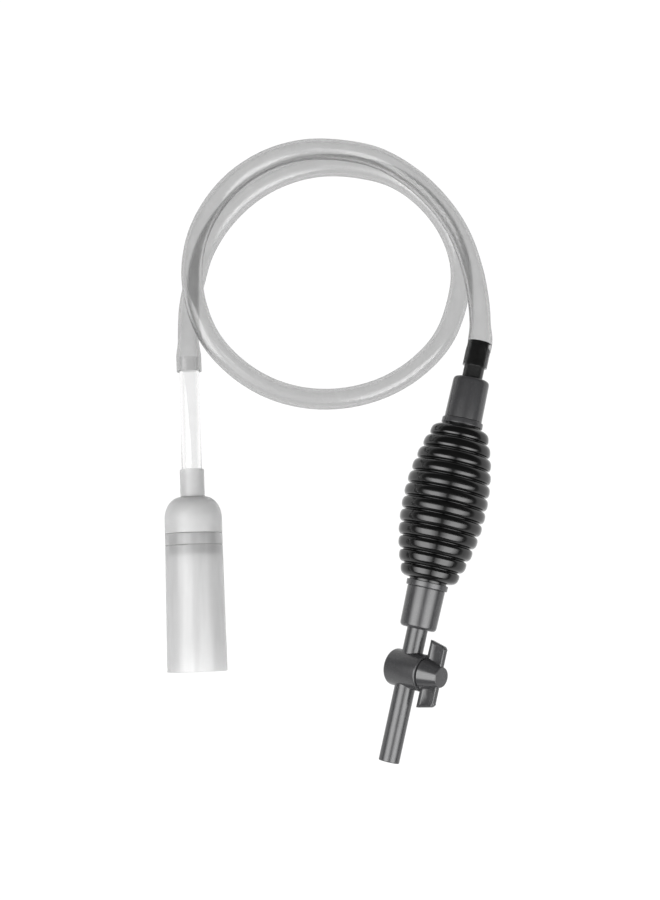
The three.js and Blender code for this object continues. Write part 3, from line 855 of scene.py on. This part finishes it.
def choose(piece, kind, test):
    """Selects the faces, edges or vertices of a piece in edit mode whose middle passes."""
    bpy.ops.mesh.select_mode(type={"faces": "FACE", "edges": "EDGE", "verts": "VERT"}[kind])
    bpy.ops.mesh.select_all(action="DESELECT")
    bpy.ops.object.mode_set(mode="OBJECT")
    mesh = piece.data
    if kind == "verts":
        for vertex in mesh.vertices:
            vertex.select = test(vertex.co, None)
    elif kind == "edges":
        for edge in mesh.edges:
            a, b = (mesh.vertices[i].co for i in edge.vertices)
            edge.select = test((a + b) / 2, (b - a).normalized())
    else:
        for face in mesh.polygons:
            face.select = test(face.center, face.normal)
    bpy.ops.object.mode_set(mode="EDIT")


WING_CORNER = 2.6 * MM
RIM = 1.5 * MM  # flat rim round each wing's dished face
DISH_SLOPE, DISH_DEPTH = 0.8 * MM, 0.45 * MM
WING_EDGE = 0.5 * MM
RIM_BAND = 1.2 * MM  # an edge nearer than this to the wing's outline is on its rim
BOSS_EDGE = 0.5 * MM
STEM_SOCKET, STEM_SOCKET_END = 7.6 * MM, 26 * MM
NEAR = 0.01 * MM


class SIPHON_OT_handle(bpy.types.Operator):
    """Handle of the stopcock: a tapered boss with two wings"""
    bl_idname = "siphon.handle"
    bl_label = "Handle"

    def execute(self, context):
        s = context.scene.siphon_valve
        handle = turned("wing_handle", round_corners([
            (0, s.boss_start), (s.boss, s.boss_start, BOSS_EDGE),
            (s.boss_tip, s.boss_end, BOSS_EDGE), (0, s.boss_end),
        ]), VALVE)
        deselect_all()
        bpy.ops.mesh.primitive_cube_add(size=1, location=(0, 0, 0))
        wings = context.object
        height = s.wing_top - s.boss_start
        near_top, near_tip = s.wing_top - 3.2 * MM, s.wing_tip - 3 * MM
        bpy.ops.object.mode_set(mode="EDIT")
        bpy.ops.mesh.select_all(action="SELECT")
        bpy.ops.transform.resize(value=(2 * s.wing_span, s.wing_thick, height))
        bpy.ops.transform.translate(value=(0, 0, s.boss_start + height / 2))
        choose(wings, "verts", lambda at, _: at.z > s.wing_top - MM)
        bpy.ops.transform.resize(value=(s.wing_tip / s.wing_span, 1, 1),
                                 center_override=(0, 0, s.wing_top))
        choose(wings, "edges", lambda at, way: at.z > s.wing_top - MM and abs(way.y) > 0.9)
        bpy.ops.mesh.bevel(offset=WING_CORNER, segments=6, affect="EDGES")
        for side in (-1, 1):
            choose(wings, "faces", lambda at, way: way.y * side > 0.9)
            bpy.ops.mesh.inset(thickness=RIM, depth=0)
            bpy.ops.mesh.inset(thickness=DISH_SLOPE, depth=-DISH_DEPTH)
        choose(wings, "edges", lambda at, way: abs(abs(at.y) - s.wing_thick / 2) < NEAR
               and (at.z > near_top or abs(at.x) > near_tip)
               and self.on_rim(at, s))
        bpy.ops.mesh.bevel(offset=WING_EDGE, segments=3, affect="EDGES")
        bpy.ops.object.mode_set(mode="OBJECT")
        settle(wings, VALVE)
        combine(handle, wings, "UNION")
        deselect_all()
        bpy.ops.mesh.primitive_cube_add(size=1, location=(0, 0, 0))
        socket = context.object
        bpy.ops.object.mode_set(mode="EDIT")
        bpy.ops.transform.resize(value=(STEM_SOCKET, STEM_SOCKET, STEM_SOCKET_END))
        bpy.ops.transform.translate(value=(0, 0, STEM_SOCKET_END / 2))
        bpy.ops.object.mode_set(mode="OBJECT")
        settle(socket, VALVE)
        combine(handle, socket, "DIFFERENCE")
        fit(handle, KNOB_BODY, "dark_abs", dark_abs(context.scene.siphon_finishes),
            "valve_handle")
        return {"FINISHED"}

    @staticmethod
    def on_rim(at, s):
        """True on the outline of the wings, and not on the edges of their dished faces."""
        share = (at.z - s.boss_start) / (s.wing_top - s.boss_start)
        reach = s.wing_span + (s.wing_tip - s.wing_span) * share
        return at.z > s.wing_top - NEAR or abs(at.x) > reach - RIM_BAND


class SIPHON_OT_inner(bpy.types.Operator):
    """Finishes of the valve's and the caps' inner pieces"""
    bl_idname = "siphon.inner"
    bl_label = "Inner Pieces"

    def execute(self, context):
        finishes = context.scene.siphon_finishes
        for make, nodes in (
            (natural_acetal, ("valve_plug", "inlet_valve_seat", "outlet_valve_seat")),
            (seal_rubber, ("plug_seal_inner", "plug_seal_outer", "inlet_flap", "outlet_flap")),
            (clear_silicone, ("head_seal_ring",)),
            (dark_abs, ("gland_ring",)),
        ):
            for node in nodes:
                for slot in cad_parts[node].material_slots:
                    slot.material = make(finishes)
        return {"FINISHED"}


# ---- sidebar and registration --------------------------------------------------------
class SIPHON_PT_panel(bpy.types.Panel):
    """Sizes, colours and the operators that model each piece"""
    bl_idname = "SIPHON_PT_panel"
    bl_label = "Gravel Vacuum Siphon"
    bl_space_type = "VIEW_3D"
    bl_region_type = "UI"
    bl_category = "Siphon"

    def draw(self, context):
        for name, group in GROUPS.items():
            column = self.layout.column(align=True)
            for field in group.__annotations__:
                column.prop(getattr(context.scene, name), field)
        for operator in OPERATORS:
            self.layout.operator(operator.bl_idname)


GROUPS = {
    "siphon_hose": SIPHON_PG_hose,
    "siphon_pump": SIPHON_PG_pump,
    "siphon_valve": SIPHON_PG_valve,
    "siphon_head": SIPHON_PG_head,
    "siphon_finishes": SIPHON_PG_finishes,
}
OPERATORS = (
    SIPHON_OT_camera, SIPHON_OT_hose, SIPHON_OT_stage, SIPHON_OT_gravel_tube, SIPHON_OT_head,
    SIPHON_OT_extension, SIPHON_OT_bulb, SIPHON_OT_caps, SIPHON_OT_stub, SIPHON_OT_valve_body,
    SIPHON_OT_handle, SIPHON_OT_inner,
)


def register():
    for cls in (*GROUPS.values(), *OPERATORS, SIPHON_PT_panel):
        bpy.utils.register_class(cls)
    for name, group in GROUPS.items():
        setattr(bpy.types.Scene, name, PointerProperty(type=group))


def unregister():
    for name in GROUPS:
        delattr(bpy.types.Scene, name)
    for cls in reversed((*GROUPS.values(), *OPERATORS, SIPHON_PT_panel)):
        bpy.utils.unregister_class(cls)


def main():
    register()
    for operator in OPERATORS:
        group, name = operator.bl_idname.split(".")
        getattr(getattr(bpy.ops, group), name)()


if __name__ == "__main__":
    main()
